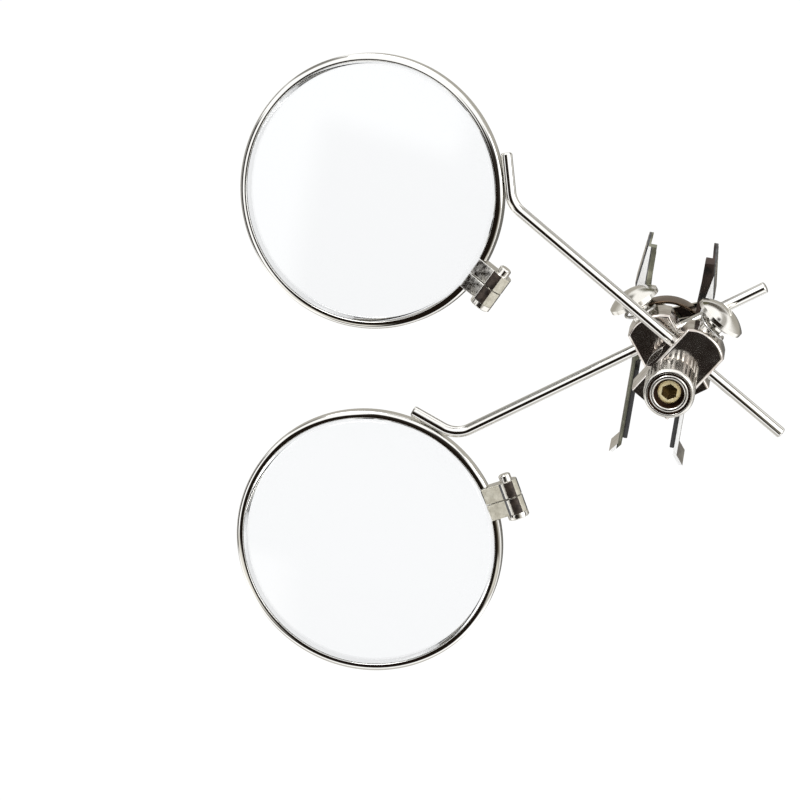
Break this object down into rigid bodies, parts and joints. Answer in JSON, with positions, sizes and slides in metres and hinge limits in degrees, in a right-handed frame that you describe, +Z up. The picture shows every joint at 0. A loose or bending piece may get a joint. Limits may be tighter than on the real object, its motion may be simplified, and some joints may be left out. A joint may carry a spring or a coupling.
{
  "type": "clip on eyeglass loupe",
  "caption": "Clip-on loupe for eyeglasses: round lenses in screwed wire rims on sliding wire arms, held by turning push-button holders on a sprung clip.",
  "frame": {"origin": "middle of the clip's grip, halfway between the jaw pads and halfway along their depth", "axes": "+Z up along the clip's handles, +X to the right, +Y to the back, along the arm of the glasses that the clip grips; the lenses face -Y"},
  "size_m": [0.0556, 0.0171, 0.0616],
  "materials": {
    "lens_glass": "clear",
    "nickel_wire": "polished",
    "nickel_plate": "polished",
    "knurled_nickel": "satin",
    "bright_steel": "bright",
    "spring_steel": "bright",
    "brass_stud": "polished",
    "bronze_strip": "satin",
    "pad_rubber": "matt"
  },
  "bodies": {
    "clip_body": {"clip_fixed_lever": "nickel_plate", "fixed_jaw_pad": "pad_rubber", "clip_hinge_pin": "bright_steel", "pivot_stud": "brass_stud", "clip_bow_spring": "bronze_strip", "rear_spacer": "bright_steel"},
    "moving_lever": {"clip_moving_lever": "nickel_plate", "moving_jaw_pad": "pad_rubber"},
    "nut": {"knurled_nut": "knurled_nickel"},
    "front_holder": {"front_wire_holder": "nickel_plate", "front_spacer": "bright_steel"},
    "rear_holder": {"rear_wire_holder": "nickel_plate"},
    "front_button": {"front_release_button": "bright_steel", "front_button_spring": "spring_steel"},
    "front_wire": {"front_arm_rod": "nickel_wire"},
    "front_ring": {"front_rim": "nickel_wire", "front_lens": "lens_glass", "front_rim_lug_plain": "nickel_plate", "front_rim_lug_tapped": "nickel_plate", "front_rim_screw": "bright_steel", "front_arm_hook": "nickel_wire"},
    "rear_button": {"rear_release_button": "bright_steel", "rear_button_spring": "spring_steel"},
    "rear_wire": {"rear_arm_rod": "nickel_wire"},
    "rear_ring": {"rear_rim": "nickel_wire", "rear_lens": "lens_glass", "rear_rim_lug_plain": "nickel_plate", "rear_rim_lug_tapped": "nickel_plate", "rear_rim_screw": "bright_steel", "rear_arm_hook": "nickel_wire"}
  },
  "joints": [
    {"name": "clip_squeeze", "type": "hinge", "parent": "clip_body", "child": "moving_lever", "pos_m": [0, 0, 0.0078], "axis": [0, 1, 0], "range_deg": [-12, 12], "stiffness_Nm_per_rad": 0.06, "deforming": ["clip_bow_spring"]},
    {"name": "nut_turn", "type": "hinge", "parent": "clip_body", "child": "nut", "pos_m": [0.00115, -0.0139, 0.0056], "axis": [0, 1, 0], "range_deg": [-90, 90]},
    {"name": "front_holder_turn", "type": "hinge", "parent": "clip_body", "child": "front_holder", "pos_m": [0.00115, -0.009, 0.0056], "axis": [0, 1, 0], "range_deg": [-20, 40]},
    {"name": "front_button_press", "type": "slide", "parent": "front_holder", "child": "front_button", "axis": [-0.5255, 0, -0.8508], "range_m": [0, 0.0006], "stiffness_N_per_m": 400, "springref_m": -0.0005, "deforming": ["front_button_spring"]},
    {"name": "front_wire_slide", "type": "slide", "parent": "front_holder", "child": "front_wire", "axis": [0.8508, 0, -0.5255], "range_m": [-0.008, 0.01]},
    {"name": "front_lens_turn", "type": "hinge", "parent": "front_wire", "child": "front_ring", "pos_m": [-0.0146, -0.0088, 0.0185], "axis": [0.8508, 0, -0.5255], "range_deg": [-50, 50]},
    {"name": "rear_holder_turn", "type": "hinge", "parent": "clip_body", "child": "rear_holder", "pos_m": [0.00115, -0.0055, 0.0056], "axis": [0, 1, 0], "range_deg": [-40, 20]},
    {"name": "rear_button_press", "type": "slide", "parent": "rear_holder", "child": "rear_button", "axis": [0.5997, 0, -0.8002], "range_m": [0, 0.0006], "stiffness_N_per_m": 400, "springref_m": -0.0005, "deforming": ["rear_button_spring"]},
    {"name": "rear_wire_slide", "type": "slide", "parent": "rear_holder", "child": "rear_wire", "axis": [0.8002, 0, 0.5997], "range_m": [-0.008, 0.01]},
    {"name": "rear_lens_turn", "type": "hinge", "parent": "rear_wire", "child": "rear_ring", "pos_m": [-0.01653, -0.0053, -0.00384], "axis": [0.8002, 0, 0.5997], "range_deg": [-50, 50]}
  ]
}
